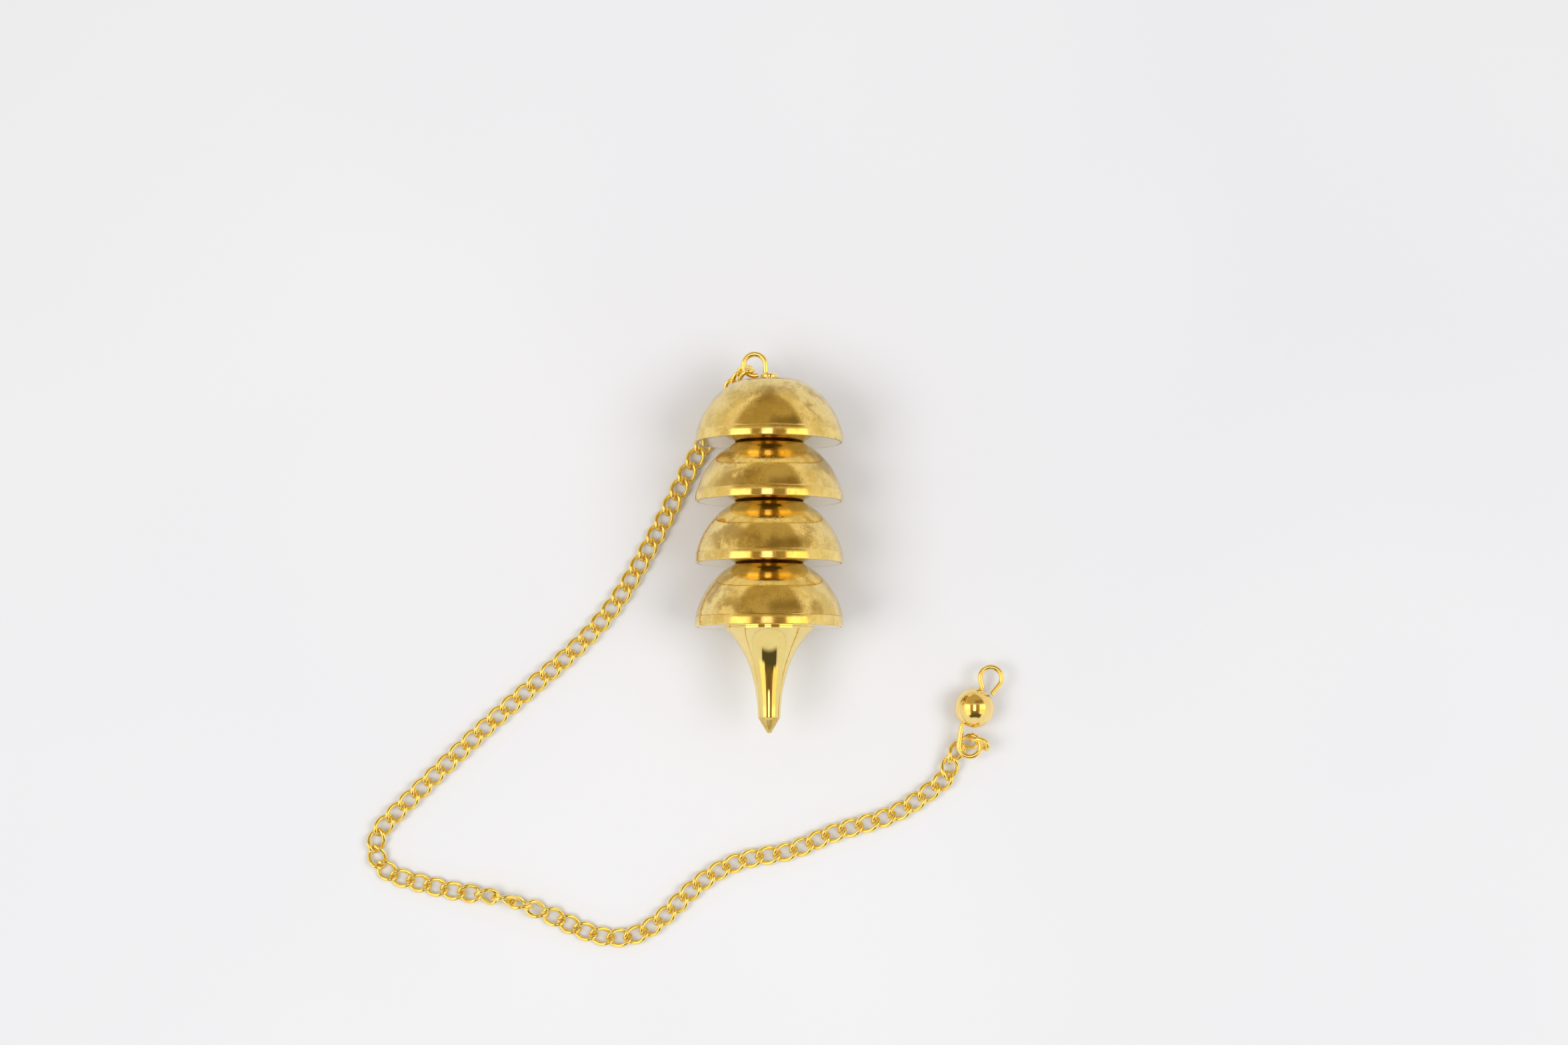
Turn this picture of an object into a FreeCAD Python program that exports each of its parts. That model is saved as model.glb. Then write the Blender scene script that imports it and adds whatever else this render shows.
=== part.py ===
import FreeCAD, Part
import math
import os

# A pendulum bob of four domed "batteries" and a turned tip, with its chain, ball and wire eyes.
# The bob lies on its rims, tip towards -Y, +Z up, and the chain lies on the same surface.
# All sizes are in millimetres.

Vec = FreeCAD.Vector
X_AXIS, Y_AXIS, Z_AXIS = Vec(1, 0, 0), Vec(0, 1, 0), Vec(0, 0, 1)

# batteries, from the eye end to the tip end
battery_heights = (9.5, 9.2, 9.6, 9.9)
rim_radius = 11.5
rim_band = 1.6
rim_taper = 0.08
rim_chamfer = 0.12
dome_radius = 11.6
dome_top_radius = 5.1
dome_top_chamfer = 0.2
rod_clearance = 0.1

# tip: a flare that thins to a shank, then a short conical point
tip_length = 16.3
flare_radius = 6.9
flare_edge = 0.3
shank_radius = 1.74
flare_length = 13.9
cone_end_radius = 0.3
flare_start_slope = 48.0
shank_slope = 0.3

# threaded tie rod that holds the tip and the batteries together
rod_radius = 1.5
rod_depth = 5.5
thread_pitch = 0.5
thread_depth = 0.27
thread_length = 5.0
bore_spare = 0.3

# collar stud that carries the eye
collar_radius = 1.4
collar_gap = 0.6
collar_edge = 0.3
collar_height = 0.9
stud_radius = 0.8
stud_depth = 3.0

# eye of the bob
wire_radius = 0.41
eye_radius = 1.7
eye_side = -2.3
eye_rise = 2.65
eye_end_angle = 290.0
eye_leg_side = eye_side + eye_radius
eye_leg_start = 1.15

# curb chain: oval links twisted a quarter turn
link_wire_radius = 0.33
link_half_length = 1.78
link_half_width = 1.22
link_twist = -90.0
link_corners = 6
stretch_lengths = (8, 6, 6, 6, 6, 6, 6, 6, 6, 6, 6, 10)
link_count = sum(stretch_lengths)
lay_height = 0.84
hang_blend_height = 6.0
kink_first_link = 44
kink_rolls = (38.0, 76.0, 114.0, 148.0)
kink_lifts = (0.34, 0.72, 0.84, 0.72, 0.4)

# middle line of the chain: from the eye down round the first battery, then over the resting surface
hang_route = (
    (-6.54, 23.73, 5.31),
    (-7.5, 21.3, 3.0),
    (-9.0, 18.7, 1.15),
    (-10.6, 16.2, lay_height),
)
lay_route = (
    (-13.0, 12.0),
    (-16.3, 5.0),
    (-20.6, -3.0),
    (-24.5, -9.5),
    (-30.0, -15.8),
    (-37.0, -21.8),
    (-44.5, -28.3),
    (-51.0, -34.5),
    (-55.6, -39.0),
    (-59.4, -42.7),
    (-61.9, -45.2),
    (-62.3, -48.8),
    (-60.2, -51.7),
    (-56.7, -52.6),
    (-49.0, -54.6),
    (-42.0, -55.2),
    (-34.5, -57.8),
    (-28.0, -61.3),
    (-21.5, -62.0),
    (-16.3, -58.4),
    (-11.3, -53.0),
    (-4.6, -49.2),
    (3.5, -48.4),
    (9.6, -45.2),
    (17.0, -43.4),
    (22.0, -41.3),
    (26.2, -38.0),
)

# joints where the first links hang from the bob's eye, and where the last ones bunch up at the ball's
eye_joints = ((-3.15, 26.42, 12.03), (-4.62, 26.37, 9.69), (-5.74, 25.39, 7.35))
eye_rolls = (-39.0, -33.0, -18.0)
ball_joints = (
    (28.2, -36.32, 1.12),
    (28.54, -33.76, 1.56),
    (29.98, -31.63, 1.13),
    (32.2, -30.66, 2.14),
    (33.87, -31.52, 3.96),
)
ball_rolls = (1.9, 8.3, 35.7, 45.5, 83.7)

# ball on the far end, with a bent wire pin through it; places beside it are (along pin, to its right)
ball_radius = 3.1
ball_bore_radius = 0.86
ball_centre = Vec(32.2, -25.65, ball_radius)
pin_heading = 62.0
pin_side = -0.42
pin_bend_reach = 3.5
loop_radius = 1.7
far_loop_centre = (5.4, 0.1)
near_loop_centre = (-5.6, 2.1)
far_loop_end = (3.15, 1.4)
near_loop_open = 30.0

bob_length = tip_length + sum(battery_heights) + eye_rise + eye_radius + wire_radius
tip_y = -bob_length / 2
seat_y = tip_y + tip_length
top_y = seat_y + sum(battery_heights)


def battery_floor(number):
    """Height along the bob of the flat underside of a battery, 0 being the one at the eye end."""
    return top_y - sum(battery_heights[: number + 1])


def line(start, end):
    return Part.LineSegment(Vec(*start), Vec(*end)).toShape()


def arc(start, middle, end):
    return Part.Arc(Vec(*start), Vec(*middle), Vec(*end)).toShape()


def turned(edges):
    """A solid turned about the bob's axis from a closed outline of (radius, y) edges."""
    face = Part.Face(Part.Wire(edges))
    solid = face.revolve(Vec(0, 0, 0), Y_AXIS, 360)
    solid.translate(Vec(0, 0, rim_radius))
    return solid


def turned_outline(points):
    """Straight edges through (radius, y) points, left open."""
    return [line((*a, 0), (*b, 0)) for a, b in zip(points, points[1:])]


def round_bar(radius, start_y, end_y, side=0.0):
    """A round bar parallel to the bob's axis, side millimetres off it."""
    return Part.makeCylinder(radius, end_y - start_y, Vec(side, start_y, rim_radius), Y_AXIS)


def battery(number):
    """A domed battery: flat underside, near-straight rim band, spherical dome, small flat top."""
    floor = battery_floor(number)
    height = battery_heights[number]
    centre = floor + height - math.sqrt(dome_radius ** 2 - dome_top_radius ** 2)
    band_top = floor + rim_band
    band_radius = rim_radius - rim_taper
    shoulder = math.sqrt(dome_radius ** 2 - (band_top - centre) ** 2)
    chamfer_start = dome_top_radius + dome_top_chamfer
    edge_y = centre + math.sqrt(dome_radius ** 2 - chamfer_start ** 2)
    start_angle = math.atan2(band_top - centre, shoulder)
    end_angle = math.atan2(edge_y - centre, chamfer_start)
    middle = (start_angle + end_angle) / 2
    top = floor + height
    edges = turned_outline(
        [
            (0, floor),
            (rim_radius - rim_chamfer, floor),
            (rim_radius, floor + rim_chamfer),
            (band_radius, band_top),
            (shoulder, band_top),
        ]
    )
    edges.append(
        arc(
            (shoulder, band_top, 0),
            (dome_radius * math.cos(middle), centre + dome_radius * math.sin(middle), 0),
            (chamfer_start, edge_y, 0),
        )
    )
    waist = dome_top_radius - dome_top_chamfer
    edges += turned_outline([(chamfer_start, edge_y), (waist, edge_y), (waist, top), (0, top), (0, floor)])
    return turned(edges)


def drilled_battery(number):
    """A battery with its bore: blind and threaded at both ends of the first, right through the rest."""
    floor = battery_floor(number)
    body = battery(number)
    if number > 0:
        return body.cut(round_bar(rod_radius + rod_clearance, floor - 1, floor + battery_heights[number] + 1))
    body = body.cut(round_bar(rod_radius, floor - 1, floor + rod_depth + bore_spare))
    return body.cut(round_bar(stud_radius, top_y - stud_depth - bore_spare / 2, top_y + 1))


def biarc(start, start_way, end, end_way):
    """Two arcs with one tangent where they meet, between two points with given directions."""
    start_way, end_way = Vec(start_way).normalize(), Vec(end_way).normalize()
    chord = end - start
    along = chord.dot(start_way + end_way)
    turn = 2 * (1 - start_way.dot(end_way))
    reach = (math.sqrt(along ** 2 + turn * chord.dot(chord)) - along) / turn
    first, second = start + start_way * reach, end - end_way * reach
    meeting = (first + second) / 2
    meeting_way = (second - first).normalize()
    return [
        tangent_arc(start, first, meeting, start_way, meeting_way),
        tangent_arc(meeting, second, end, meeting_way, end_way),
    ]


def tangent_arc(start, corner, end, start_way, end_way):
    """The arc from start to end that touches both sides of the corner between them."""
    weight = math.cos(start_way.getAngle(end_way) / 2)
    middle = (start + corner * (2 * weight) + end) / (2 * (1 + weight))
    return Part.Arc(start, middle, end).toShape()


def tip():
    """The turned tip: flared seat, slim shank and conical point, bored for the tie rod."""
    seat = Vec(flare_radius, seat_y - flare_edge, 0)
    neck = Vec(shank_radius, seat_y - flare_length, 0)
    slope = math.radians(flare_start_slope)
    seat_way = Vec(-math.sin(slope), -math.cos(slope), 0)
    slope = math.radians(shank_slope)
    neck_way = Vec(-math.sin(slope), -math.cos(slope), 0)
    edges = turned_outline([(0, seat_y), (flare_radius, seat_y), (flare_radius, seat_y - flare_edge)])
    edges += biarc(seat, seat_way, neck, neck_way)
    edges += turned_outline([(shank_radius, neck.y), (cone_end_radius, tip_y), (0, tip_y), (0, seat_y)])
    bore = round_bar(rod_radius, seat_y - rod_depth - bore_spare, seat_y + 1)
    return turned(edges).cut(bore)


def tie_rod():
    """A stud with a ring-grooved thread at each end."""
    start, end = seat_y - rod_depth, battery_floor(0) + rod_depth
    root = rod_radius - thread_depth
    points = [(0, start), (root, start)]
    turns = int(thread_length / thread_pitch)
    for turn in range(turns):
        points.append((rod_radius, start + (turn + 0.5) * thread_pitch))
        points.append((root, start + (turn + 1.0) * thread_pitch))
    points.append((rod_radius, points[-1][1] + thread_depth))
    upper_start = end - turns * thread_pitch
    points.append((rod_radius, upper_start - thread_depth))
    for turn in range(turns):
        points.append((root, upper_start + turn * thread_pitch))
        points.append((rod_radius, upper_start + (turn + 0.5) * thread_pitch))
    points += [(root, end), (0, end), (0, start)]
    return turned(turned_outline(points))


def eye_collar():
    """A domed collar that stands a little off the first battery on its own stud."""
    base = top_y + collar_gap
    shoulder = base + collar_edge
    crown = base + collar_height
    edges = turned_outline(
        [
            (0, top_y - stud_depth),
            (stud_radius, top_y - stud_depth),
            (stud_radius, base),
            (collar_radius, base),
            (collar_radius, shoulder),
        ]
    )
    bulge = math.radians(45)
    middle = (collar_radius * math.cos(bulge), shoulder + (crown - shoulder) * math.sin(bulge), 0)
    edges.append(arc((collar_radius, shoulder, 0), middle, (0, crown, 0)))
    edges += turned_outline([(0, crown), (0, top_y - stud_depth)])
    socket = round_bar(wire_radius, top_y + eye_leg_start, crown + 1, eye_leg_side)
    return turned(edges).cut(socket)


def wire_solid(edges, radius):
    """A round wire along straight and round edges that run on from each other smoothly."""
    first = edges[0]
    start = first.valueAt(first.FirstParameter)
    way = first.tangentAt(first.FirstParameter)
    section = Part.Wire(Part.makeCircle(radius, start, way))
    return Part.Wire(edges).makePipeShell([section], True, False)


def bob_eye():
    """The wire eye: a straight leg out of the collar, bent round into a nearly closed loop."""
    hub = Vec(eye_side, top_y + eye_rise, rim_radius)
    leg_start = Vec(eye_leg_side, top_y + eye_leg_start, rim_radius)
    leg_end = Vec(eye_leg_side, hub.y, rim_radius)

    def on_loop(angle):
        turn = math.radians(angle)
        return hub + Vec(math.cos(turn), math.sin(turn), 0) * eye_radius

    loop = Part.Arc(on_loop(0), on_loop(eye_end_angle / 2), on_loop(eye_end_angle)).toShape()
    return wire_solid([Part.LineSegment(leg_start, leg_end).toShape(), loop], wire_radius)


def link_point(turn):
    """A point of a twisted oval link's centreline, the link lying along X with its flat side up."""
    along, across = link_half_length * math.cos(turn), link_half_width * math.sin(turn)
    roll = math.radians(link_twist) / 2 * math.cos(turn)
    return Vec(along, across * math.cos(roll), across * math.sin(roll))


def link_way(turn):
    small = 1e-4
    return (link_point(turn + small) - link_point(turn - small)).normalize()


def edge_tube(edge, radius):
    """A round wire along one straight or round edge."""
    start = edge.FirstParameter
    disc = Part.Face(Part.Wire(Part.makeCircle(radius, edge.valueAt(start), edge.tangentAt(start))))
    return Part.Wire([edge]).makePipe(disc)


def chain_link():
    """One link at the origin, its centreline made of tangent arcs."""
    turns = [2 * math.pi * corner / link_corners for corner in range(link_corners + 1)]
    pieces = []
    for start, end in zip(turns, turns[1:]):
        for edge in biarc(link_point(start), link_way(start), link_point(end), link_way(end)):
            pieces.append(edge_tube(edge, link_wire_radius))
    return pieces[0].multiFuse(pieces[1:]).removeSplitter().Solids[0]


def curve_points(route, steps=24):
    """Points of the smooth quadratic curve that the route's points pull towards them."""
    ends = [route[0]] + [(a + b) / 2 for a, b in zip(route[1:], route[2:-1])] + [route[-1]]
    points = [route[0]]
    for start, pull, end in zip(ends, route[1:-1], ends[1:]):
        for step in range(1, steps + 1):
            part = step / steps
            points.append(start * (1 - part) ** 2 + pull * (2 * part * (1 - part)) + end * part ** 2)
    return points


def walk(points, pitch, count):
    """Joints between links: points of the line, each one pitch away from the one before."""
    joints = [points[0]]
    index = 1
    while len(joints) <= count and index < len(points):
        last = joints[-1]
        if (points[index] - last).Length < pitch:
            index += 1
            continue
        near, far = points[index - 1], points[index]
        low, high = 0.0, 1.0
        for _ in range(40):
            middle = (low + high) / 2
            if (near + (far - near) * middle - last).Length < pitch:
                low = middle
            else:
                high = middle
        joints.append(near + (far - near) * high)
        points = [joints[-1]] + points[index:]
        index = 1
    return joints


def chain_joints():
    """The joints of the whole chain, at the pitch that makes its lying links just fill their route."""
    points = curve_points([Vec(*point) for point in hang_route] + [Vec(x, y, lay_height) for x, y in lay_route])
    count = link_count - len(eye_joints) - len(ball_joints)
    low, high = 2.0, 3.5
    for _ in range(40):
        pitch = (low + high) / 2
        if len(walk(points, pitch, count)) > count:
            low = pitch
        else:
            high = pitch
    joints = [Vec(*joint) for joint in eye_joints]
    joints += walk(points, low, count)
    joints += [Vec(*joint) for joint in ball_joints]
    for step, lift in enumerate(kink_lifts):
        joints[kink_first_link + step] += Z_AXIS * lift
    return joints


def link_up(middle):
    """The way a link's flat side faces: away from the first battery's dome beside it, else straight up."""
    if middle.y < hang_route[-1][1]:
        return Z_AXIS
    dome_middle = Vec(0, top_y - math.sqrt(dome_radius ** 2 - dome_top_radius ** 2), rim_radius)
    inward = (dome_middle - middle).normalize()
    share = min(1.0, max(0.0, (middle.z - lay_height) / hang_blend_height))
    return inward * share + Z_AXIS * (1 - share)


def link_rolls():
    """Extra roll of every link about the chain: at the bob's eye, at the kink's half turn, at the ball."""
    rolls = [0.0] * link_count
    for first, some in ((0, eye_rolls), (kink_first_link, kink_rolls), (link_count - len(ball_rolls), ball_rolls)):
        rolls[first : first + len(some)] = some
    return rolls


def link_placements(joints):
    """Where each link lies: its middle between two joints, along them, with its flat side up."""
    places = []
    for start, end, roll in zip(joints, joints[1:], link_rolls()):
        middle = (start + end) / 2
        way = (end - start).normalize()
        up = link_up(middle)
        up = (up - way * up.dot(way)).normalize()
        side = up.cross(way)
        matrix = FreeCAD.Matrix(
            way.x, side.x, up.x, middle.x,
            way.y, side.y, up.y, middle.y,
            way.z, side.z, up.z, middle.z,
            0, 0, 0, 1,
        )
        turn = FreeCAD.Placement(Vec(0, 0, 0), FreeCAD.Rotation(X_AXIS, roll))
        places.append(FreeCAD.Placement(matrix) * turn)
    return places


def stretch(number, link, places):
    """One stretch of the chain: its links, each a solid of its own."""
    first = sum(stretch_lengths[:number])
    links = []
    for place in places[first : first + stretch_lengths[number]]:
        solid = link.copy()
        solid.Placement = place
        links.append(solid)
    return Part.makeCompound(links)


def from_ball(place):
    """A point beside the ball, from its distance along the pin and its distance to the pin's right."""
    heading = math.radians(pin_heading)
    along, right = place
    ahead = Vec(math.cos(heading), math.sin(heading), 0)
    aside = Vec(math.sin(heading), -math.cos(heading), 0)
    return ball_centre + ahead * along + aside * right


def bearing(hub, place):
    """The angle at which a place lies from a hub, seen from above."""
    gap = place - hub
    return math.atan2(gap.y, gap.x)


def touch_angle(hub, place, way_round):
    """Where on a loop about the hub a straight run from a place beside it touches, as an angle."""
    return bearing(hub, place) + way_round * math.acos(loop_radius / (place - hub).Length)


def loop_edges(bend, hub, end_angle, way_round):
    """A leg from the bend that runs onto a loop about the hub, and the loop, to where it ends."""
    start = touch_angle(hub, bend, way_round)
    sweep = (way_round * (end_angle - start)) % (2 * math.pi)

    def on_loop(angle):
        return hub + Vec(math.cos(angle), math.sin(angle), 0) * loop_radius

    touch = on_loop(start)
    middle, end = on_loop(start + way_round * sweep / 2), on_loop(start + way_round * sweep)
    return Part.LineSegment(bend, touch).toShape(), Part.Arc(touch, middle, end).toShape()


def ball_pin():
    """The wire pin through the ball, bent over into a loop at each end; the far loop ends at the ball."""
    far_bend, near_bend = from_ball((pin_bend_reach, pin_side)), from_ball((-pin_bend_reach, pin_side))
    far_hub, near_hub = from_ball(far_loop_centre), from_ball(near_loop_centre)
    far_end = from_ball(far_loop_end)
    far_leg, far_loop = loop_edges(far_bend, far_hub, touch_angle(far_hub, far_end, 1), -1)
    near_end_angle = bearing(near_hub, near_bend) - math.radians(near_loop_open)
    near_leg, near_loop = loop_edges(near_bend, near_hub, near_end_angle, 1)
    shank = Part.LineSegment(near_bend, far_bend).toShape()
    tail = Part.LineSegment(far_loop.valueAt(far_loop.LastParameter), far_end).toShape()
    pieces = []
    for edge in (near_loop, near_leg, shank, far_leg, far_loop, tail):
        pieces.append(edge_tube(edge, wire_radius))
    for bend in (near_bend, far_bend):
        pieces.append(Part.makeSphere(wire_radius, bend))
    return pieces[0].multiFuse(pieces[1:]).removeSplitter().Solids[0]


def ball():
    """The ball, with a bore along the pin that is wider than the wire."""
    heading = Vec(math.cos(math.radians(pin_heading)), math.sin(math.radians(pin_heading)), 0)
    bore = Part.makeCylinder(ball_bore_radius, 4 * ball_radius, ball_centre - heading * 2 * ball_radius, heading)
    return Part.makeSphere(ball_radius, ball_centre).cut(bore)


def main():
    os.makedirs("parts", exist_ok=True)
    pieces = {f"battery_{number + 1}": drilled_battery(number) for number in range(len(battery_heights))}
    pieces["tip"] = tip()
    pieces["tie_rod"] = tie_rod()
    pieces["eye_collar"] = eye_collar()
    pieces["bob_eye"] = bob_eye()
    link = chain_link()
    places = link_placements(chain_joints())
    for number in range(len(stretch_lengths)):
        pieces[f"chain_{number + 1:02d}"] = stretch(number, link, places)
    pieces["ball_pin"] = ball_pin()
    pieces["ball"] = ball()
    for name, shape in pieces.items():
        shape.exportStep(f"parts/{name}.step")
        print(f"{name}: {len(shape.Solids)} solids, {shape.Volume:.1f} mm3, valid {shape.isValid()}")


main()
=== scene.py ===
import math

import bpy
import numpy as np
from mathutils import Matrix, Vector


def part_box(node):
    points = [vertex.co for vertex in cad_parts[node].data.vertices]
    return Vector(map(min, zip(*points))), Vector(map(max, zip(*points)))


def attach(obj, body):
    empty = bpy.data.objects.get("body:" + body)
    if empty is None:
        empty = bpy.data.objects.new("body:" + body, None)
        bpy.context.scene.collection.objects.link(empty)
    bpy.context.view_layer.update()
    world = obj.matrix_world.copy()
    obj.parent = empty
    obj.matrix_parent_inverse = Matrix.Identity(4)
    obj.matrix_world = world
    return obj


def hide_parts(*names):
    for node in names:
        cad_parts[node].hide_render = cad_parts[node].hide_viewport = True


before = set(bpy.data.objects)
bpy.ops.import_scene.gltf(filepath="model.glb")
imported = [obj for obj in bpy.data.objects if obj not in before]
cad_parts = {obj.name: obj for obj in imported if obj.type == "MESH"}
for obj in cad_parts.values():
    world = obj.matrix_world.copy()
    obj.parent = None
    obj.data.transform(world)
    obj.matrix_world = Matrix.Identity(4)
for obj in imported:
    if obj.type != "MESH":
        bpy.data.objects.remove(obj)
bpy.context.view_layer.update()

# Looks for the pendulum bob. Blender is in metres, in the CAD frame: the bob lies along Y with its axis at
# rim height. Shapes are worked out in millimetres and scaled by MM.

MM = 0.001


def box_mm(node):
    """A CAD node's lowest and highest corners in millimetres."""
    low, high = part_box(node)
    return np.array(low) / MM, np.array(high) / MM


# ------------------------------------------------------------------ camera, floor, light

CAMERA_PLACE = (0.00228, -0.03244, 0.4415)
CAMERA_TILT = 4.7
LENS_MM = 63.93
SENSOR_MM = 36


def make_camera():
    """The photograph's view: almost straight down, tilted a little towards the eye end."""
    data = bpy.data.cameras.new("camera")
    data.lens = LENS_MM
    data.sensor_width = SENSOR_MM
    data.clip_start = 0.01
    camera = bpy.data.objects.new("camera", data)
    camera.location = CAMERA_PLACE
    camera.rotation_euler = (math.radians(CAMERA_TILT), 0, 0)
    bpy.context.scene.collection.objects.link(camera)
    bpy.context.scene.camera = camera


make_camera()


class Nodes:
    """Short ways to add and link shader nodes in one tree."""

    def __init__(self, tree):
        self.tree = tree
        tree.nodes.clear()

    def add(self, kind, **settings):
        node = self.tree.nodes.new(kind)
        for key, value in settings.items():
            setattr(node, key, value)
        return node

    def put(self, value, socket):
        """Link a socket, or set a plain value."""
        if isinstance(value, bpy.types.NodeSocket):
            self.tree.links.new(value, socket)
        elif value is not None:
            socket.default_value = value

    def math(self, operation, a, b=None, clamp=False):
        node = self.add("ShaderNodeMath", operation=operation, use_clamp=clamp)
        for value, socket in zip((a, b), node.inputs):
            self.put(value, socket)
        return node.outputs[0]

    def smooth(self, value, low, high, start=0.0, end=1.0):
        """From start to end as the value goes from low to high, eased at both."""
        node = self.add("ShaderNodeMapRange", interpolation_type="SMOOTHSTEP")
        for item, socket in zip((value, low, high, start, end), node.inputs):
            self.put(item, socket)
        return node.outputs[0]

    def mix(self, factor, a, b):
        """One colour into another."""
        node = self.add("ShaderNodeMix", data_type="RGBA", blend_type="MIX")
        self.put(factor, node.inputs[0])
        self.put(a, node.inputs[6])
        self.put(b, node.inputs[7])
        return node.outputs[2]

    def window(self, value, low, high, soft):
        """1 between low and high, falling to 0 outside over soft each way."""
        rise = self.smooth(value, low - soft, low + soft)
        fall = self.smooth(value, high - soft, high + soft, 1.0, 0.0)
        return self.math("MULTIPLY", rise, fall)


ROOM_BELOW, ROOM_ABOVE = (0.98, 0.95, 0.86, 1), (0.98, 0.88, 0.66, 1)
PLAIN_LIGHT = (0.605, 0.605, 0.618, 1)
WORLD_STRENGTH = 0.9
# What shiny things see of the room: (side from, to, rise from, to, softness) in degrees from straight up,
# and the colour there. The later ones lie over the earlier ones.
REFLECTED = (
    ((-60, 60, 21, 100, 9), (0.54, 0.41, 0.18, 1)),     # dim wall beyond the eye end
    ((0, 56, 26, 44, 7), (0.30, 0.21, 0.08, 1)),        # darker part of that wall
    ((-44, 46, -58, -26, 5), (0.10, 0.09, 0.05, 1)),    # dark wall beyond the tip
    ((-29, 27, -30, 19, 3), (0.42, 0.29, 0.11, 1)),     # dark patch overhead
    ((-20, 17, -36, -14, 5), (0.22, 0.14, 0.06, 1)),    # darker patch within both
    ((-62, -29, -40, 0, 4), (1.55, 1.30, 0.70, 1)),     # left panel, its half by the tip
    ((28, 60, -34, 0, 4), (1.45, 1.15, 0.50, 1)),       # right panel, its half by the tip
    ((-62, -29, -6, 18, 3), (2.05, 1.85, 1.20, 1)),     # left panel, its brighter half
    ((28, 62, -6, 18, 3), (2.10, 1.75, 0.90, 1)),       # right panel, its brighter half
    ((-11, 5, -18, 19, 2), (2.20, 1.85, 1.60, 1)),      # small panel overhead
)


def make_world():
    """Plain light for everything matt, and for shiny things a room with bright panels and dim walls."""
    world = bpy.data.worlds.new("room")
    bpy.context.scene.world = world
    world.use_nodes = True
    n = Nodes(world.node_tree)
    way = n.add("ShaderNodeSeparateXYZ")
    n.put(n.add("ShaderNodeTexCoord").outputs["Generated"], way.inputs[0])
    x, y, z = way.outputs
    side = n.math("MULTIPLY", n.math("ARCTAN2", x, z), 180 / math.pi)
    rise = n.math("MULTIPLY", n.math("ARCSINE", y), 180 / math.pi)

    def patch(s0, s1, r0, r1, soft):
        return n.math("MULTIPLY", n.window(side, s0, s1, soft), n.window(rise, r0, r1, soft))

    room = n.mix(n.smooth(y, -0.2, 0.5), ROOM_BELOW, ROOM_ABOVE)
    for box, colour in REFLECTED:
        room = n.mix(patch(*box), room, colour)
    shiny = n.add("ShaderNodeLightPath").outputs["Is Glossy Ray"]
    seen = n.mix(shiny, PLAIN_LIGHT, room)
    back = n.add("ShaderNodeBackground")
    n.put(seen, back.inputs["Color"])
    n.put(WORLD_STRENGTH, back.inputs["Strength"])
    n.put(back.outputs[0], n.add("ShaderNodeOutputWorld").inputs[0])


LAMP_SIZE = 0.42
LAMPS = (
    ("front_left", (-0.42, -0.13, 0.72), 2.42, (1.0, 0.985, 0.96)),
    ("front_right", (0.44, -0.10, 0.70), 2.3, (0.97, 0.985, 1.0)),
)


def make_lights():
    """Two soft lamps aimed at the bob, left out of reflections."""
    for name, place, power, colour in LAMPS:
        data = bpy.data.lights.new(name, "AREA")
        data.energy = power
        data.size = LAMP_SIZE
        data.color = colour
        lamp = bpy.data.objects.new(name, data)
        lamp.location = place
        lamp.visible_glossy = False
        lamp.rotation_euler = (Vector((0, 0, 0)) - Vector(place)).to_track_quat("-Z", "Y").to_euler()
        bpy.context.scene.collection.objects.link(lamp)


TABLE_REACH = 1.6
TABLE_DROP = 0.00002
TABLE_WHITES = (0.80, 0.80, 0.815, 1), (0.825, 0.823, 0.83, 1)


def make_floor():
    """A pale, slightly glossy table just under the object."""
    reach = TABLE_REACH
    mesh = bpy.data.meshes.new("table")
    corners = [(-reach, -reach, 0), (reach, -reach, 0), (reach, reach, 0), (-reach, reach, 0)]
    mesh.from_pydata(corners, [], [(0, 1, 2, 3)])
    table = bpy.data.objects.new("table", mesh)
    table.location.z = -TABLE_DROP
    bpy.context.scene.collection.objects.link(table)
    material = bpy.data.materials.new("table_white")
    material.use_nodes = True
    n = Nodes(material.node_tree)
    shade = n.add("ShaderNodeBsdfPrincipled")
    spot = n.add("ShaderNodeTexNoise")
    n.put(n.add("ShaderNodeTexCoord").outputs["Object"], spot.inputs["Vector"])
    n.put(9.0, spot.inputs["Scale"])
    n.put(n.mix(n.smooth(spot.outputs["Fac"], 0.35, 0.65), *TABLE_WHITES), shade.inputs["Base Color"])
    n.put(0.22, shade.inputs["Roughness"])
    n.put(0.35, shade.inputs["Specular IOR Level"])
    n.put(shade.outputs[0], n.add("ShaderNodeOutputMaterial").inputs[0])
    mesh.materials.append(material)


make_world()
make_lights()
make_floor()
view = bpy.context.scene.view_settings
view.view_transform = "Standard"
view.look = "None"
view.exposure = 0.0
# Light bounces many times between the batteries; with fewer bounces their joints turn black.
bpy.context.scene.cycles.max_bounces = 16
bpy.context.scene.cycles.glossy_bounces = 12


# ------------------------------------------------------------------ materials

battery_low, battery_high = box_mm("battery_1")
RIM = (battery_high[2] - battery_low[2]) / 2      # a battery's radius, and the height of the bob's axis
NECK_SHADE_IN, NECK_SHADE_OUT = 0.0077, 0.0083                # metres from the axis, between which the painted neck shade fades


def noise(n, where, scale, detail=4.0, rough=0.55, stretch=None):
    """Noise, its size given as features per metre."""
    if stretch:
        spread = n.add("ShaderNodeMapping", vector_type="POINT")
        n.put(where, spread.inputs["Vector"])
        n.put(stretch, spread.inputs["Scale"])
        where = spread.outputs[0]
    node = n.add("ShaderNodeTexNoise")
    n.put(where, node.inputs["Vector"])
    n.put(scale, node.inputs["Scale"])
    n.put(detail, node.inputs["Detail"])
    n.put(rough, node.inputs["Roughness"])
    return node.outputs["Fac"]


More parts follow.
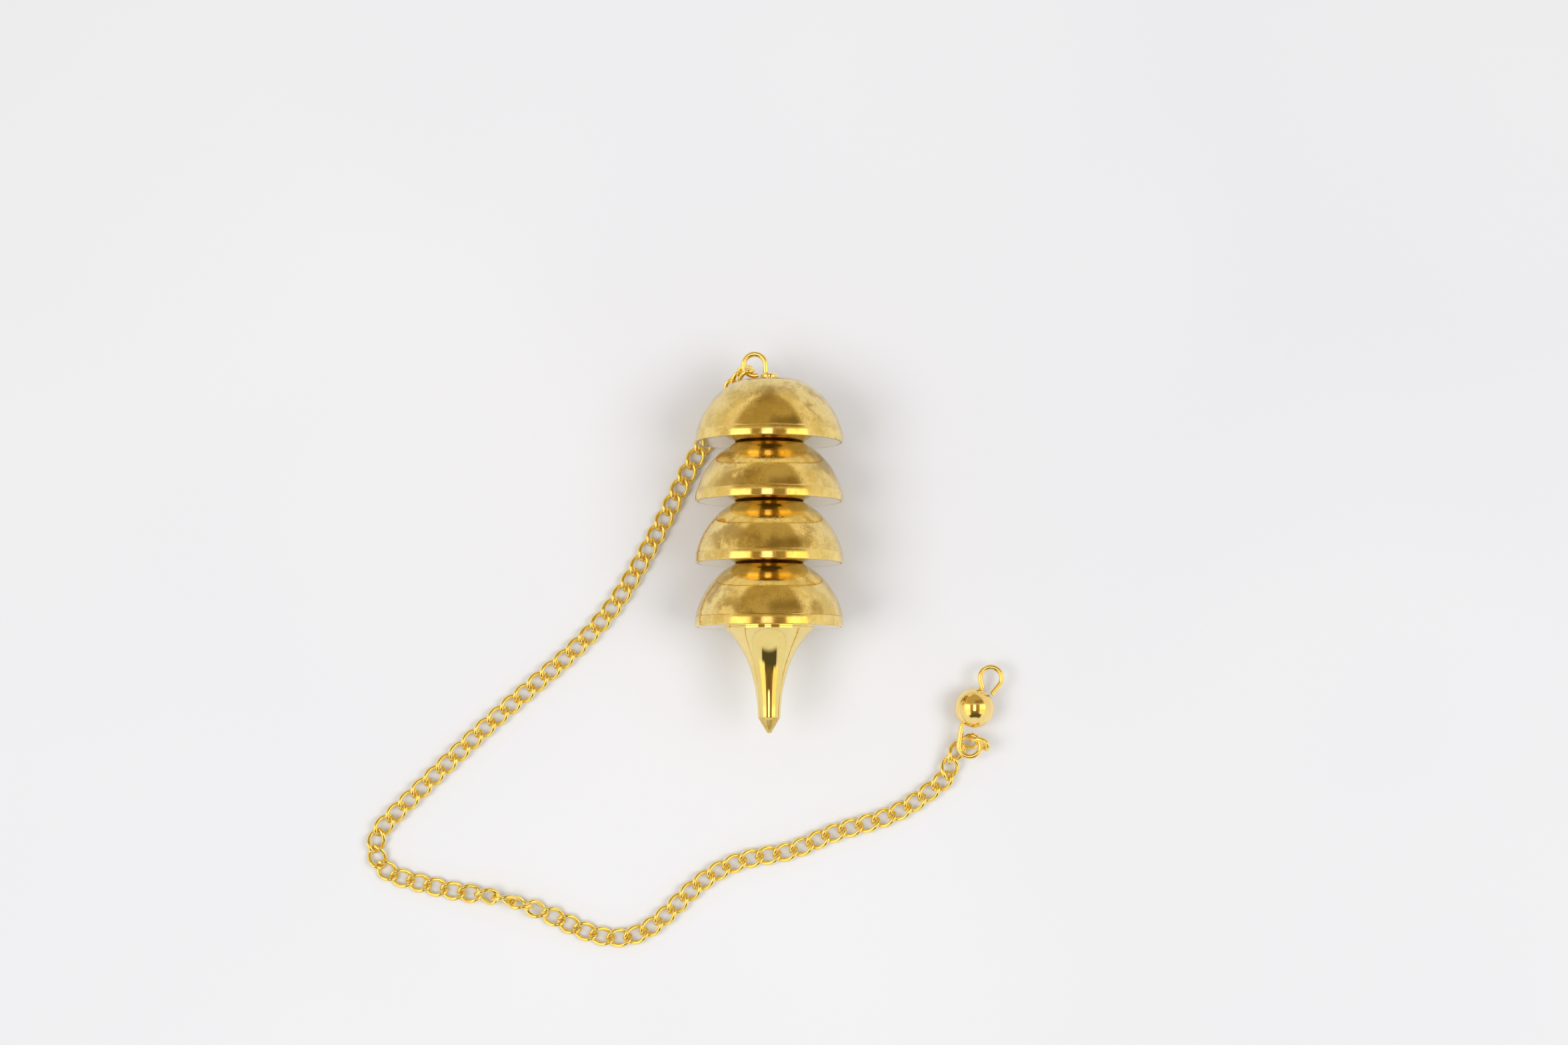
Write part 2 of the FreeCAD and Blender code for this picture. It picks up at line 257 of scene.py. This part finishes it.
def specks(n, where, scale):
    """Rare small spots of uneven outline, 1 inside them."""
    grainy = noise(n, where, scale, 3.0, 0.7)
    patchy = noise(n, where, scale * 0.12, 2.0)
    return n.math("MULTIPLY", n.smooth(grainy, 0.66, 0.72), n.smooth(patchy, 0.5, 0.64))


def darker(colour, red, green, blue):
    return (colour[0] * red, colour[1] * green, colour[2] * blue, 1)


def metal(name, light, dark, rough, rough_more, mottle, grain, bump, spots=0.0, scratches=0.0, turned=0.0,
          stain=None, stain_share=0.0, pits=0.0, anisotropic=0.0, neck=None):
    """Brass or gilding: two tones mottled together, uneven polish, and where asked for stains, spots, pits,
    scratches, turning marks, and a painted neck shade close to the bob's axis. grain is features per metre."""
    material = bpy.data.materials.new(name)
    material.use_nodes = True
    n = Nodes(material.node_tree)
    shade = n.add("ShaderNodeBsdfPrincipled")
    where = n.add("ShaderNodeTexCoord").outputs["Object"]
    broad = noise(n, where, grain * 0.45, 3.0, 0.55)
    cloud = noise(n, where, grain, 6.0, 0.65)
    fine = noise(n, where, grain * 6, 4.0, 0.65)
    blend = n.math("MULTIPLY", n.smooth(cloud, 0.38, 0.62), mottle)
    blend = n.math("ADD", blend, n.math("MULTIPLY", n.smooth(fine, 0.5, 0.72), mottle * 0.4), clamp=True)
    colour = n.mix(blend, (*light, 1), (*dark, 1))
    roughness = n.math("ADD", rough, n.math("MULTIPLY", n.smooth(cloud, 0.35, 0.7), rough_more))
    height = n.math("MULTIPLY", fine, 0.4)
    if stain:
        blot = n.math("MULTIPLY", n.smooth(broad, 0.5, 0.62), n.smooth(cloud, 0.40, 0.56))
        colour = n.mix(n.math("MULTIPLY", blot, stain_share), colour, (*stain, 1))
        roughness = n.math("ADD", roughness, n.math("MULTIPLY", blot, rough_more))
    if spots:
        dots = specks(n, where, grain * 9)
        colour = n.mix(n.math("MULTIPLY", dots, spots), colour, darker(dark, 0.32, 0.25, 0.2))
        roughness = n.math("ADD", roughness, n.math("MULTIPLY", dots, 0.25))
        height = n.math("SUBTRACT", height, dots)
    if pits:
        area = n.smooth(noise(n, where, grain * 0.6, 2.0), 0.44, 0.6)
        pitted = n.smooth(noise(n, where, grain * 14, 2.0, 0.6), 0.54, 0.68)
        holes = n.math("MULTIPLY", area, pitted)
        height = n.math("SUBTRACT", height, n.math("MULTIPLY", holes, pits))
        colour = n.mix(n.math("MULTIPLY", holes, 0.45), colour, darker(dark, 0.6, 0.5, 0.4))
    if scratches:
        for stretch in ((9, 0.5, 9), (0.6, 7, 3)):
            line = n.smooth(noise(n, where, grain * 1.4, 2.0, 0.5, stretch), 0.62, 0.70)
            roughness = n.math("ADD", roughness, n.math("MULTIPLY", line, scratches * 0.2))
            height = n.math("SUBTRACT", height, n.math("MULTIPLY", line, scratches))
    if turned:
        rings = noise(n, where, 1.0, 2.0, 0.5, (20, 9000, 20))
        height = n.math("ADD", height, n.math("MULTIPLY", rings, turned))
        roughness = n.math("ADD", roughness, n.math("MULTIPLY", n.smooth(rings, 0.3, 0.7), 0.03 * turned))
    # painted shade: a duller, darker colour near the bob's axis, where the dome mirrors the battery above in
    # the neck between batteries
    if neck:
        part = n.add("ShaderNodeSeparateXYZ")
        n.put(where, part.inputs[0])
        up = n.math("SUBTRACT", part.outputs[2], RIM * MM)
        across = n.math("MULTIPLY", part.outputs[0], part.outputs[0])
        out = n.math("SQRT", n.math("ADD", across, n.math("MULTIPLY", up, up)))
        near = n.math("SUBTRACT", 1.0, n.smooth(out, NECK_SHADE_IN, NECK_SHADE_OUT))
        colour = n.mix(near, colour, (*neck, 1))
    rise = n.add("ShaderNodeBump")
    n.put(bump, rise.inputs["Strength"])
    n.put(0.0001, rise.inputs["Distance"])
    n.put(height, rise.inputs["Height"])
    n.put(1.0, shade.inputs["Metallic"])
    n.put(colour, shade.inputs["Base Color"])
    n.put(roughness, shade.inputs["Roughness"])
    n.put(rise.outputs[0], shade.inputs["Normal"])
    if anisotropic:
        n.put(anisotropic, shade.inputs["Anisotropic"])
        n.put(n.add("ShaderNodeTangent", direction_type="RADIAL", axis="Y").outputs[0], shade.inputs["Tangent"])
    n.put(shade.outputs[0], n.add("ShaderNodeOutputMaterial").inputs[0])
    return material


dome_finish = dict(
    light=(0.93, 0.72, 0.29), dark=(0.73, 0.52, 0.15), rough=0.06, rough_more=0.10, mottle=0.85, grain=230,
    bump=0.07, spots=0.7, scratches=0.4, turned=0.3, stain=(0.48, 0.32, 0.10), stain_share=0.85, pits=2.0,
    anisotropic=0.15,
)
DOME = metal("dome_brass", **dome_finish)
# batteries 2 to 4: the dome brass with painted shade near the neck
DOME_NECK_SHADE = metal("dome_brass_neck_shade", neck=(0.66, 0.53, 0.25), **dome_finish)
BAND = metal("band_brass", (0.94, 0.73, 0.27), (0.80, 0.58, 0.17), 0.05, 0.06, mottle=0.8, grain=420,
             bump=0.05, spots=0.3, scratches=0.4, turned=0.4, stain=(0.62, 0.40, 0.12), stain_share=0.4,
             pits=0.5, anisotropic=0.1)
UNDER = metal("underside_brass", (0.96, 0.88, 0.66), (0.90, 0.80, 0.54), 0.025, 0.03, mottle=0.3, grain=200,
              bump=0.008, spots=0.2)
TIP = metal("tip_brass", (0.93, 0.75, 0.31), (0.84, 0.63, 0.21), 0.022, 0.03, mottle=0.4, grain=300,
            bump=0.01, spots=0.15, scratches=0.2)
POINT = metal("point_brass", (0.82, 0.62, 0.22), (0.60, 0.43, 0.12), 0.14, 0.12, mottle=0.7, grain=700,
              bump=0.08, scratches=0.4, turned=0.5)
# painted shade: a dark, rough brass for the waist between batteries, a thin dark line on each underside near
# the rim, and the inside of the ball's bore
SHADE = metal("waist_painted_shade", (0.46, 0.30, 0.09), (0.26, 0.15, 0.04), 0.30, 0.2, mottle=0.8, grain=500, bump=0.1)
GILT = metal("gilt_wire", (1.0, 0.82, 0.35), (0.96, 0.69, 0.20), 0.07, 0.07, mottle=0.5, grain=900, bump=0.05)
LINK = metal("gilt_links", (1.0, 0.84, 0.32), (0.98, 0.71, 0.17), 0.13, 0.10, mottle=0.6, grain=800, bump=0.06)
BALL = metal("gilt_ball", (1.0, 0.78, 0.32), (0.94, 0.66, 0.21), 0.10, 0.05, mottle=0.4, grain=500, bump=0.008,
             spots=0.2)
CUT = metal("cut_wire", (0.40, 0.37, 0.33), (0.26, 0.22, 0.18), 0.30, 0.2, mottle=0.8, grain=2500, bump=0.1)
ROD = metal("rod_brass", (0.72, 0.54, 0.22), (0.52, 0.36, 0.12), 0.25, 0.15, mottle=0.6, grain=400, bump=0.05,
            turned=0.6)


# ------------------------------------------------------------------ meshes

SHARP_ABOVE = 32     # degrees between faces


def new_piece(name, points, faces, marks, materials, body, node):
    """A smooth-shaded mesh from points in millimetres, riding a body in place of a CAD node."""
    mesh = bpy.data.meshes.new(name)
    mesh.from_pydata([tuple(p) for p in np.asarray(points) * MM], [], faces)
    for material in materials:
        mesh.materials.append(material)
    mesh.polygons.foreach_set("material_index", marks)
    mesh.polygons.foreach_set("use_smooth", [True] * len(faces))
    mesh.set_sharp_from_angle(angle=math.radians(SHARP_ABOVE))
    mesh.update()
    piece = bpy.data.objects.new(name, mesh)
    bpy.context.scene.collection.objects.link(piece)
    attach(piece, body)
    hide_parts(node)


ON_AXIS = 1e-6       # a smaller radius is the axis itself


def lathe(profile, marks, segments, place):
    """Points, faces and the faces' marks of an outline of (radius, along) turned about an axis. place maps
    (x, y, along) to space, and there is one mark for each step of the outline."""
    rings, points, faces, face_marks = [], [], [], []
    for radius, along in profile:
        if radius < ON_AXIS:
            rings.append([len(points)] * segments)
            points.append(place(0.0, 0.0, along))
            continue
        rings.append(range(len(points), len(points) + segments))
        for step in range(segments):
            turn = 2 * math.pi * step / segments
            points.append(place(radius * math.cos(turn), radius * math.sin(turn), along))
    for (first, second), mark in zip(zip(rings, rings[1:]), marks):
        for step in range(segments):
            after = (step + 1) % segments
            corners = [first[step], first[after], second[after], second[step]]
            face = [c for i, c in enumerate(corners) if c != corners[i - 1]]
            if len(face) > 2:
                faces.append(face)
                face_marks.append(mark)
    return points, faces, face_marks


def arc_points(centre, radius, start, end, count):
    """Points on a circle about (x, y), from one angle to another, both ends in."""
    return [
        (centre[0] + radius * math.cos(start + (end - start) * i / count),
         centre[1] + radius * math.sin(start + (end - start) * i / count))
        for i in range(count + 1)
    ]


def along_bob(across, up, along):
    return (across, along, RIM + up)


def weld(points, faces):
    """Join points that coincide, so an outline that closes on itself gives a closed mesh."""
    keys = {}
    renumber = []
    kept = []
    for point in points:
        key = tuple(round(value, 6) for value in point)
        if key not in keys:
            keys[key] = len(kept)
            kept.append(point)
        renumber.append(keys[key])
    return kept, [[renumber[c] for c in face] for face in faces]


BAND_HEIGHT = 1.6
DOME_RADIUS, DOME_TOP, DOME_EDGE, WAIST = 11.6, 5.1, 5.3, 4.9
RIM_ROUND = 0.16
CHAMFER = 0.1
CLOSED_BORE, CLOSED_BORE_DEPTH = 1.5, 5.8      # battery 1, for the rod
THROUGH_BORE = 1.6                             # the others
STUD_BORE, STUD_BORE_DEPTH = 0.8, 3.1          # battery 1, for the collar's stud
BATTERY_SEGMENTS, DOME_STEPS = 224, 46
ON_DOME, ON_BAND, ON_FACE, ON_PAINTED_SHADE = range(4)


def battery(number):
    """One domed battery: flat mirror underside, rounded rim edge, polished band, crease, satin dome."""
    low, high = box_mm(f"battery_{number}")
    floor, top = low[1], high[1]
    first = number == 1
    bore = CLOSED_BORE if first else THROUGH_BORE
    band_top = floor + BAND_HEIGHT
    centre = top - math.sqrt(DOME_RADIUS ** 2 - DOME_TOP ** 2)
    shoulder = math.sqrt(DOME_RADIUS ** 2 - (band_top - centre) ** 2)
    start = math.atan2(band_top - centre, shoulder)
    edge = math.acos(DOME_EDGE / DOME_RADIUS)
    edge_height = centre + DOME_RADIUS * math.sin(edge)
    outline = []

    def go(mark, *points):
        for point in points:
            outline.append((point, mark))

    if first:
        go(ON_FACE, (0, floor + CLOSED_BORE_DEPTH), (bore, floor + CLOSED_BORE_DEPTH))
    go(ON_FACE, (bore, floor + CHAMFER), (bore + CHAMFER, floor))
    go(ON_FACE, (8.0, floor), (RIM - 0.5, floor))
    # painted dark line on the underside, just inside the rim
    go(ON_PAINTED_SHADE, (RIM - 0.36, floor))
    go(ON_BAND, (RIM - 0.2, floor))
    go(ON_BAND, *arc_points((RIM - RIM_ROUND, floor + RIM_ROUND), RIM_ROUND, -math.pi / 2 + 0.15, 0, 5))
    go(ON_BAND, (RIM - 0.03, floor + 0.7), (RIM - 0.07, band_top - 0.1))
    go(ON_BAND, (RIM - 0.1, band_top - 0.03), (RIM - 0.14, band_top))
    go(ON_DOME, (shoulder + 0.02, band_top + 0.02))
    go(ON_DOME, *arc_points((0, centre), DOME_RADIUS, start + 0.006, edge - 0.01, DOME_STEPS))
    # painted shade on the waist between this battery and the next
    go(ON_PAINTED_SHADE, (DOME_EDGE - 0.03, edge_height + 0.02), (WAIST + 0.02, edge_height + 0.05))
    go(ON_PAINTED_SHADE, (WAIST, top - 0.02), (WAIST - 0.02, top))
    if first:
        go(ON_DOME, (STUD_BORE + CHAMFER, top))
        go(ON_FACE, (STUD_BORE, top - CHAMFER), (STUD_BORE, top - STUD_BORE_DEPTH), (0, top - STUD_BORE_DEPTH))
    else:
        go(ON_FACE, (bore + CHAMFER, top), (bore, top - CHAMFER), (bore, floor + CHAMFER))
    profile = [point for point, _ in outline]
    marks = [mark for _, mark in outline[1:]]
    points, faces, marks = lathe(profile, marks, BATTERY_SEGMENTS, along_bob)
    if not first:
        points, faces = weld(points, faces)
    new_piece(f"battery_{number}_turned", points, faces, marks,
              (DOME if first else DOME_NECK_SHADE, BAND, UNDER, SHADE), "bob", f"battery_{number}")


for number in range(1, 5):
    battery(number)


TIP_SEAT_RADIUS, TIP_EDGE = 6.9, 0.07
TIP_BORE, TIP_BORE_DEPTH = 1.5, 5.8
FLARE_START, FLARE_END = 0.3, 13.9             # down from the seat
SHANK_RADIUS = 1.74
LEAN_AT_START, LEAN_AT_END = 48, 0.3           # degrees in from straight down
POINT_RADIUS = 0.3
FLARE_STEPS, TIP_SEGMENTS = 26, 160


def downward(lean):
    return np.array((-math.sin(math.radians(lean)), -math.cos(math.radians(lean))))


def tip_curve(seat):
    """The flare from the seat to the shank: two arcs with a common tangent, as (radius, along)."""
    start = np.array((TIP_SEAT_RADIUS, seat - FLARE_START))
    end = np.array((SHANK_RADIUS, seat - FLARE_END))
    way_a, way_b = downward(LEAN_AT_START), downward(LEAN_AT_END)
    chord = end - start
    along, turn = chord @ (way_a + way_b), 2 * (1 - way_a @ way_b)
    reach = (math.sqrt(along ** 2 + turn * (chord @ chord)) - along) / turn
    corner_a, corner_b = start + way_a * reach, end - way_b * reach
    meet = (corner_a + corner_b) / 2
    way_m = (corner_b - corner_a) / np.linalg.norm(corner_b - corner_a)
    points = []
    for a, corner, b, w0, w1 in ((start, corner_a, meet, way_a, way_m), (meet, corner_b, end, way_m, way_b)):
        weight = math.cos(math.acos(max(-1, min(1, w0 @ w1))) / 2)
        for i in range(FLARE_STEPS + 1):
            t = i / FLARE_STEPS
            share = np.array(((1 - t) ** 2, 2 * t * (1 - t) * weight, t ** 2))
            points.append(tuple((share[0] * a + share[1] * corner + share[2] * b) / share.sum()))
    return points[: FLARE_STEPS + 1] + points[FLARE_STEPS + 2:]


def tip():
    """The polished flare and shank, then the duller cone of the point."""
    low, high = box_mm("tip")
    seat, end = high[1], low[1]
    flare = [(0, seat - TIP_BORE_DEPTH), (TIP_BORE, seat - TIP_BORE_DEPTH), (TIP_BORE, seat)]
    flare += [(TIP_SEAT_RADIUS - TIP_EDGE, seat), (TIP_SEAT_RADIUS, seat - TIP_EDGE)]
    flare += tip_curve(seat)
    neck_radius, neck = flare[-1]
    flare.append((neck_radius - 0.01, neck - 0.03))
    cone = [(neck_radius - 0.05, neck - 0.06)]
    slope = (neck_radius - POINT_RADIUS) / (neck - end)
    for part in (0.2, 0.4, 0.6, 0.8, 0.93):
        cone.append((neck_radius - slope * (neck - end) * part, neck + (end - neck) * part))
    cone += [(POINT_RADIUS + 0.01, end + 0.08), (0.2, end + 0.015), (0.08, end), (0, end)]
    marks = [0] * (len(flare) - 1) + [1] * len(cone)
    points, faces, marks = lathe(flare + cone, marks, TIP_SEGMENTS, along_bob)
    new_piece("tip_turned", points, faces, marks, (TIP, POINT), "bob", "tip")


tip()


COLLAR_RADIUS, COLLAR_GAP, COLLAR_SIDE, COLLAR_CROWN = 1.4, 0.6, 0.3, 0.6
STUD_RADIUS, STUD_DEPTH = 0.78, 3.0
CROWN_STEPS = 12


def collar():
    """A small domed collar held off the first battery by its stud."""
    top = box_mm("battery_1")[1][1]
    base = top + COLLAR_GAP
    outline = [(0, top - STUD_DEPTH), (STUD_RADIUS - 0.08, top - STUD_DEPTH), (STUD_RADIUS, top - 2.9)]
    outline += [(STUD_RADIUS, base), (COLLAR_RADIUS - 0.06, base), (COLLAR_RADIUS, base + 0.06)]
    outline += [(COLLAR_RADIUS, base + COLLAR_SIDE)]
    for i in range(1, CROWN_STEPS):
        turn = math.pi / 2 * i / CROWN_STEPS
        height = base + COLLAR_SIDE + COLLAR_CROWN * math.sin(turn)
        outline.append((COLLAR_RADIUS * math.cos(turn), height))
    outline.append((0, base + COLLAR_SIDE + COLLAR_CROWN))
    points, faces, marks = lathe(outline, [0] * (len(outline) - 1), 64, along_bob)
    new_piece("eye_collar_turned", points, faces, marks, (GILT,), "bob", "eye_collar")


collar()


CUT_EDGE, CUT_FACE = 0.12, 0.82      # a wire end's chamfer and flat, as shares of its radius


def tube(path, radius, sides, closed):
    """Points, faces and marks (1 on a cut end) of a round wire along points; open ends are chamfered."""
    path = np.asarray(path, float)
    count = len(path)
    if closed:
        ways = np.roll(path, -1, 0) - np.roll(path, 1, 0)
    else:
        ways = np.gradient(path, axis=0)
    ways /= np.linalg.norm(ways, axis=1)[:, None]
    side = np.cross(ways[0], (0.3, 0.2, 1.0) if abs(ways[0][2]) < 0.9 else (1.0, 0.1, 0.0))
    frames = []
    for way in ways:
        side = side - way * (side @ way)
        side /= np.linalg.norm(side)
        frames.append((side.copy(), np.cross(way, side)))
    if closed:
        last = frames[-1][0] - ways[0] * (frames[-1][0] @ ways[0])
        twist = math.atan2(last @ frames[0][1], last @ frames[0][0])
    else:
        twist = 0.0
    points, faces, marks = [], [], []
    scales = [(path[i], 1.0, i) for i in range(count)]
    if not closed:
        ends = CUT_EDGE * radius
        head = [(path[0], CUT_FACE, 0), (path[0] + ways[0] * ends, 1.0, 0)]
        tail = [(path[-1] - ways[-1] * ends, 1.0, count - 1), (path[-1], CUT_FACE, count - 1)]
        scales = head + scales[1:-1] + tail
    for index, (point, scale, at) in enumerate(scales):
        a, b = frames[at]
        offset = -twist * index / len(scales)
        for s in range(sides):
            turn = 2 * math.pi * s / sides + offset
            points.append(point + (a * math.cos(turn) + b * math.sin(turn)) * radius * scale)
    total = len(scales)
    for index in range(total if closed else total - 1):
        after = (index + 1) % total
        for s in range(sides):
            t = (s + 1) % sides
            faces.append([index * sides + s, index * sides + t, after * sides + t, after * sides + s])
            marks.append(0)
    if not closed:
        faces.append(list(range(sides))[::-1])
        faces.append(list(range((total - 1) * sides, total * sides)))
        marks += [1, 1]
    return points, faces, marks


WIRE_RADIUS, WIRE_SIDES = 0.41, 28
LOOP_RADIUS = 1.7
EYE_SIDE, EYE_RISE = -2.3, 2.65      # the loop's middle, from the top of the first battery
EYE_SWEEP, EYE_STEPS = 290, 72


def eye():
    """A leg up out of the collar, then a nearly closed loop."""
    top = box_mm("battery_1")[1][1]
    hub = np.array((EYE_SIDE, top + EYE_RISE, RIM))
    path = [np.array((EYE_SIDE + LOOP_RADIUS, top + rise, RIM)) for rise in (1.2, 1.7, 2.3)]
    for i in range(EYE_STEPS + 1):
        turn = math.radians(EYE_SWEEP) * i / EYE_STEPS
        path.append(hub + LOOP_RADIUS * np.array((math.cos(turn), math.sin(turn), 0)))
    points, faces, marks = tube(path, WIRE_RADIUS, WIRE_SIDES, False)
    new_piece("bob_eye_wire", points, faces, marks, (GILT, CUT), "bob", "bob_eye")


eye()


# ------------------------------------------------------------------ chain

def islands(mesh):
    """The separate solids of a mesh, each as its triangles' corner points in millimetres."""
    mesh.calc_loop_triangles()
    corners = np.empty(len(mesh.vertices) * 3)
    mesh.vertices.foreach_get("co", corners)
    corners = corners.reshape(-1, 3) / MM
    triangles = np.empty(len(mesh.loop_triangles) * 3, dtype=np.int64)
    mesh.loop_triangles.foreach_get("vertices", triangles)
    triangles = triangles.reshape(-1, 3)
    _, merged = np.unique(np.round(corners, 4), axis=0, return_inverse=True)
    merged = merged.ravel()
    linked = merged[triangles]
    labels = np.arange(merged.max() + 1)
    while True:
        lowest = labels[linked].min(1)
        fresh = labels.copy()
        for column in range(3):
            np.minimum.at(fresh, linked[:, column], lowest)
        fresh = fresh[fresh]
        if (fresh == labels).all():
            break
        labels = fresh
    owner = labels[linked[:, 0]]
    return [corners[triangles[owner == label]] for label in np.unique(owner)]


def link_pose(triangles):
    """Middle and axes (long, wide, thin) of one link's surface, by its area."""
    a, b, c = triangles[:, 0], triangles[:, 1], triangles[:, 2]
    area = np.linalg.norm(np.cross(b - a, c - a), axis=1)
    middles = (a + b + c) / 3
    centre = (middles * area[:, None]).sum(0) / area.sum()
    spread = np.zeros((3, 3))
    for points, weight in ((a, 1), (b, 1), (c, 1), (middles, 9)):
        offset = points - centre
        spread += weight * (offset * area[:, None]).T @ offset
    axes = np.linalg.eigh(spread)[1][:, ::-1]
    if np.linalg.det(axes) < 0:
        axes[:, 2] *= -1
    return centre, axes


LINK_HALF_LENGTH, LINK_HALF_WIDTH, LINK_WIRE_RADIUS = 1.78, 1.22, 0.33
LINK_TWIST = -90.0
LINK_STEPS, LINK_SIDES = 56, 16


def link_path():
    """Centre line of a curb link: an oval twisted a quarter turn about its length."""
    points = []
    for i in range(LINK_STEPS):
        turn = 2 * math.pi * i / LINK_STEPS
        roll = math.radians(LINK_TWIST) / 2 * math.cos(turn)
        across = LINK_HALF_WIDTH * math.sin(turn)
        points.append((LINK_HALF_LENGTH * math.cos(turn), across * math.cos(roll), across * math.sin(roll)))
    return np.array(points)


link_points, link_faces, link_marks = tube(link_path(), LINK_WIRE_RADIUS, LINK_SIDES, True)
link_points = np.array(link_points)


def stretch(number):
    """The links of one stretch of chain, each where its CAD solid is."""
    node = f"chain_{number:02d}"
    points, faces, marks = [], [], []
    for triangles in islands(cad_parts[node].data):
        centre, axes = link_pose(triangles)
        first = len(points)
        points += list(link_points @ axes.T + centre)
        faces += [[corner + first for corner in face] for face in link_faces]
        marks += link_marks
    new_piece(f"{node}_links", points, faces, marks, (LINK,), node, node)


for number in range(1, 13):
    stretch(number)


# ------------------------------------------------------------------ ball and its pin

PIN_HEADING = math.radians(62)
BALL_RADIUS, BALL_BORE = 3.1, 0.86
BALL_STEPS, BALL_SEGMENTS = 70, 96
ahead = np.array((math.cos(PIN_HEADING), math.sin(PIN_HEADING), 0))
aside = np.array((math.sin(PIN_HEADING), -math.cos(PIN_HEADING), 0))
ball_low, ball_high = box_mm("ball")
ball_middle = (ball_low + ball_high) / 2


def ball():
    """A polished ball with a rounded bore along the pin, painted shade inside the bore."""
    edge = math.asin((BALL_BORE + 0.09) / BALL_RADIUS)
    turns = np.linspace(edge, math.pi - edge, BALL_STEPS)
    outside = [(BALL_RADIUS * math.sin(turn), BALL_RADIUS * math.cos(turn)) for turn in turns]
    reach = math.sqrt(BALL_RADIUS ** 2 - BALL_BORE ** 2)
    mouth = [(BALL_BORE, reach - 0.12), (BALL_BORE + 0.025, reach - 0.03)]
    far_mouth = [(radius, -along) for radius, along in mouth[::-1]]
    outline = mouth + outside + far_mouth + mouth[:1]
    # the last step, the bore's wall, gets painted shade
    marks = [0] * (len(outline) - 2) + [1]

    def place(x, y, along):
        return tuple(ball_middle + aside * x + np.array((0, 0, 1)) * y + ahead * along)

    points, faces, marks = lathe(outline, marks, BALL_SEGMENTS, place)
    points, faces = weld(points, faces)
    new_piece("ball_polished", points, faces, marks, (BALL, SHADE), "ball", "ball")


ball()


def by_ball(along, right):
    """A place at the ball's height, so far along the pin from its middle and to the right."""
    return ball_middle + ahead * along + aside * right


def bearing(hub, place):
    """The angle of a place seen from a hub."""
    return math.atan2(*(place - hub)[1::-1])


LOOP_STEPS = 64


def touch_angle(hub, place, way):
    """Where on a loop about the hub a straight run from a place beside it touches."""
    return bearing(hub, place) + way * math.acos(LOOP_RADIUS / np.linalg.norm(place - hub))


def loop_path(bend, hub, end, way):
    """A leg from the bend onto a loop about the hub, then round it to an angle."""
    start = touch_angle(hub, bend, way)
    sweep = (way * (end - start)) % (2 * math.pi)
    turns = [start + way * sweep * i / LOOP_STEPS for i in range(LOOP_STEPS + 1)]
    ring = [hub + LOOP_RADIUS * np.array((math.cos(turn), math.sin(turn), 0)) for turn in turns]
    leg = [bend + (ring[0] - bend) * part for part in (0.25, 0.5, 0.75)]
    return leg + ring


BEND_REACH, PIN_SIDE = 3.5, -0.42
FAR_HUB, NEAR_HUB, FAR_END = (5.4, 0.1), (-5.6, 2.1), (3.15, 1.4)
NEAR_LOOP_OPEN = 30


def ball_pin():
    """A straight shank through the ball, a loop in the last link, and a loop that comes back to the ball."""
    far_bend, near_bend = by_ball(BEND_REACH, PIN_SIDE), by_ball(-BEND_REACH, PIN_SIDE)
    far_hub, near_hub, far_end = by_ball(*FAR_HUB), by_ball(*NEAR_HUB), by_ball(*FAR_END)
    near_end = bearing(near_hub, near_bend) - math.radians(NEAR_LOOP_OPEN)
    far = loop_path(far_bend, far_hub, touch_angle(far_hub, far_end, 1), -1)
    near = loop_path(near_bend, near_hub, near_end, 1)
    shank = [near_bend + (far_bend - near_bend) * part for part in (0.01, 0.06, 0.3, 0.5, 0.7, 0.94, 0.99)]
    tail = [far[-1] + (far_end - far[-1]) * part for part in (0.4, 0.8, 1.0)]
    path = near[::-1] + shank + far + tail
    points, faces, marks = tube(path, WIRE_RADIUS, WIRE_SIDES, False)
    new_piece("ball_pin_wire", points, faces, marks, (GILT, CUT), "ball_pin", "ball_pin")


ball_pin()


# ------------------------------------------------------------------ the rod inside keeps its CAD shape

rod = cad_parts["tie_rod"]
for slot in rod.material_slots:
    slot.material = ROD
